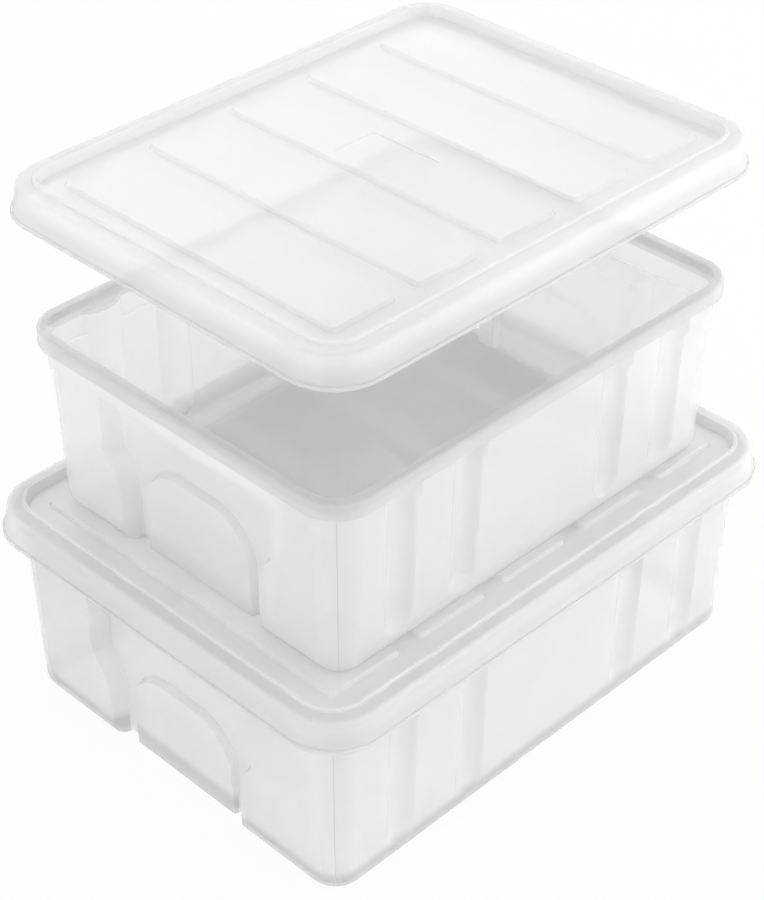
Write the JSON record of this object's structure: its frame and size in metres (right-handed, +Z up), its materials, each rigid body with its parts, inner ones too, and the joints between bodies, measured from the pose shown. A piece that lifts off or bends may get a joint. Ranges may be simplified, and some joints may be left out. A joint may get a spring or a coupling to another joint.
{
  "type": "dough proofing container",
  "caption": "Two sizes of drafted food tub, stacked, with hollow rims, fluted walls, end hand grips and loose ribbed lids that seat over the rim and carry the tub above.",
  "frame": {"origin": "centre of the lower tub's base, on the surface that it stands on", "axes": "+X along the long sides, +Y along the short sides, +Z up"},
  "size_m": [0.3986, 0.3136, 0.3678],
  "materials": {
    "frosted_tub": "frosted translucent natural polypropylene, satin",
    "frosted_lid": "frosted translucent natural polypropylene, satin"
  },
  "bodies": {
    "lower_tub": {"lower_tub": "frosted_tub"},
    "lower_lid": {"lower_lid": "frosted_lid"},
    "upper_tub": {"upper_tub": "frosted_tub"},
    "upper_lid": {"upper_lid": "frosted_lid"}
  },
  "joints": [
    {"name": "lower_lid_lift", "type": "slide", "parent": "lower_tub", "child": "lower_lid", "axis": [0, 0, 1], "range_m": [0, 0.06]},
    {"name": "upper_tub_lift", "type": "slide", "parent": "lower_lid", "child": "upper_tub", "axis": [0, 0, 1], "range_m": [0, 0.08]},
    {"name": "upper_lid_lift", "type": "slide", "parent": "upper_tub", "child": "upper_lid", "axis": [0, 0, 1], "range_m": [-0.093, 0.03]}
  ]
}
